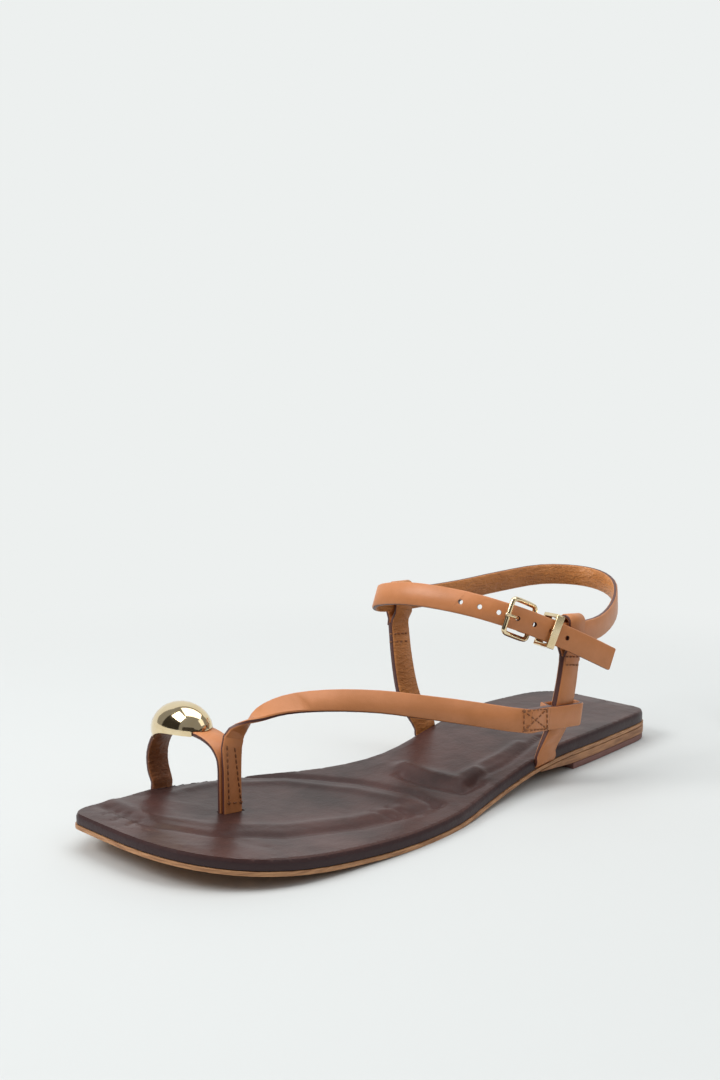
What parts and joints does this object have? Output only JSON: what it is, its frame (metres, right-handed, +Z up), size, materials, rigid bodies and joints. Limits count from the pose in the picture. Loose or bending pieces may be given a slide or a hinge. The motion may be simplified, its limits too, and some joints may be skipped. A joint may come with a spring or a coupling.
{
  "type": "toe loop sandal",
  "caption": "Flat leather sandal for the left foot: a toe loop under a pebble ornament, a vamp strap to a side tab, and a buckled ankle strap.",
  "frame": {"origin": "middle of the bounding box, on the floor under the sandal", "axes": "+X towards the toe, +Y towards the outer (little toe) side, +Z up from the floor"},
  "size_m": [0.2516, 0.1006, 0.0769],
  "materials": {
    "footbed_leather": "dark brown, satin",
    "strap_leather": "tan, smooth",
    "sole_leather": "tan cut edge, matt",
    "heel_rubber": "matt",
    "polished_brass": "polished gold tone"
  },
  "bodies": {
    "root": {"insole": "footbed_leather", "outsole": "sole_leather", "heel_lift": "sole_leather", "heel_top_piece": "heel_rubber", "toe_loop_and_vamp_strap": "strap_leather", "outer_tab": "strap_leather", "inner_tab": "strap_leather", "ankle_strap": "strap_leather", "buckle_frame": "polished_brass", "buckle_prong": "polished_brass", "keeper": "polished_brass", "pebble_ornament": "polished_brass"}
  },
  "joints": []
}
